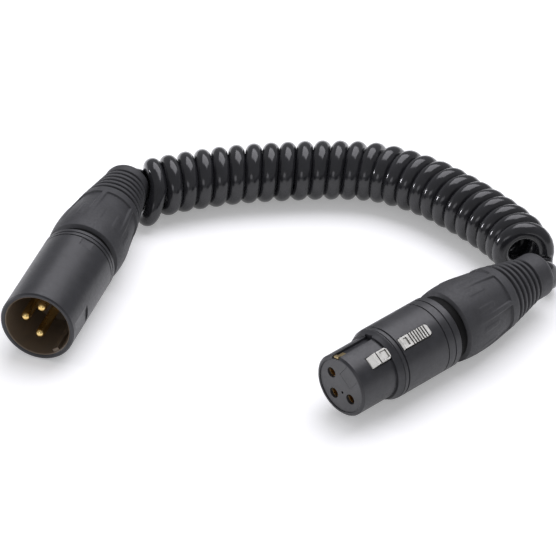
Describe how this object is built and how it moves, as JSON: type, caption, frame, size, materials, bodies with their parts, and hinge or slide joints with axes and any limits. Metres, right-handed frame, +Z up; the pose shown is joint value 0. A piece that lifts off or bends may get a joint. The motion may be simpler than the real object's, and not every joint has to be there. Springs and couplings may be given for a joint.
{
  "type": "curly microphone patch cable",
  "caption": "Short curly microphone cable with a three-pin male plug at one end and a latching three-socket female plug at the other.",
  "frame": {"origin": "on the floor, at the middle of the box around the two plugs as they lie", "axes": "+Z up; +Y along the male plug, from its mouth towards its boot; +X from the male plug to the female plug"},
  "size_m": [0.1247, 0.1059, 0.0194],
  "materials": {
    "shell_enamel": "satin black enamel",
    "male_insert_plastic": "moulded dark plastic",
    "female_insert_plastic": "moulded dark grey plastic",
    "gold_plate": "gold plated",
    "spring_steel": "bright",
    "latch_nickel": "satin nickel",
    "chuck_plastic": "moulded natural plastic",
    "ring_plastic": "moulded black",
    "bushing_plastic": "moulded black",
    "boot_rubber": "moulded soft grey-black",
    "core_shield": "sleeved shield wire",
    "core_red": "red insulation",
    "core_white": "white insulation",
    "cord_jacket": "glossy black jacket"
  },
  "bodies": {
    "plugs_and_cord": {"male_shell": "shell_enamel", "male_insert": "male_insert_plastic", "male_pin_1": "gold_plate", "male_pin_2": "gold_plate", "male_pin_3": "gold_plate", "male_ground_contact": "spring_steel", "male_chuck": "chuck_plastic", "male_core_1": "core_shield", "male_core_2": "core_red", "male_core_3": "core_white", "female_shell": "shell_enamel", "female_insert": "female_insert_plastic", "female_insert_rear": "female_insert_plastic", "female_key_block": "female_insert_plastic", "female_contact_1": "gold_plate", "female_contact_2": "gold_plate", "female_contact_3": "gold_plate", "latch_spring": "spring_steel", "female_ground_contact": "gold_plate", "female_chuck": "chuck_plastic", "female_core_1": "core_shield", "female_core_2": "core_red", "female_core_3": "core_white", "male_tail": "cord_jacket", "coil": "cord_jacket", "female_tail": "cord_jacket"},
    "latch": {"latch": "latch_nickel"},
    "male_ring": {"male_ring": "ring_plastic"},
    "male_gland": {"male_bushing": "bushing_plastic", "male_boot": "boot_rubber"},
    "female_ring": {"female_ring": "ring_plastic"},
    "female_gland": {"female_bushing": "bushing_plastic", "female_boot": "boot_rubber"}
  },
  "joints": [
    {"name": "latch_press", "type": "hinge", "parent": "plugs_and_cord", "child": "latch", "pos_m": [0.03965, -0.01161, 0.01426], "axis": [0.7141, -0.391, -0.5807], "range_deg": [0, 5], "stiffness_Nm_per_rad": 0.2, "springref_deg": -1.72, "deforming": ["latch_spring"]},
    {"name": "male_gland_turn", "type": "hinge", "parent": "plugs_and_cord", "child": "male_ring", "pos_m": [-0.0528, -0.0003, 0.0097], "axis": [0, 1, 0], "range_deg": [0, 360]},
    {"name": "male_gland_back", "type": "slide", "parent": "male_ring", "child": "male_gland", "axis": [0, 1, 0], "range_m": [0, 0.001]},
    {"name": "female_gland_turn", "type": "hinge", "parent": "plugs_and_cord", "child": "female_ring", "pos_m": [0.04068, -0.00294, 0.0097], "axis": [0.4802, 0.8771, 0], "range_deg": [0, 360]},
    {"name": "female_gland_back", "type": "slide", "parent": "female_ring", "child": "female_gland", "axis": [0.4802, 0.8771, 0], "range_m": [0, 0.001]}
  ],
  "couplings": [
    {"joint": "male_gland_turn", "follows": "male_gland_back", "rad_per_m": 6283.1},
    {"joint": "female_gland_turn", "follows": "female_gland_back", "rad_per_m": 6283.1}
  ]
}
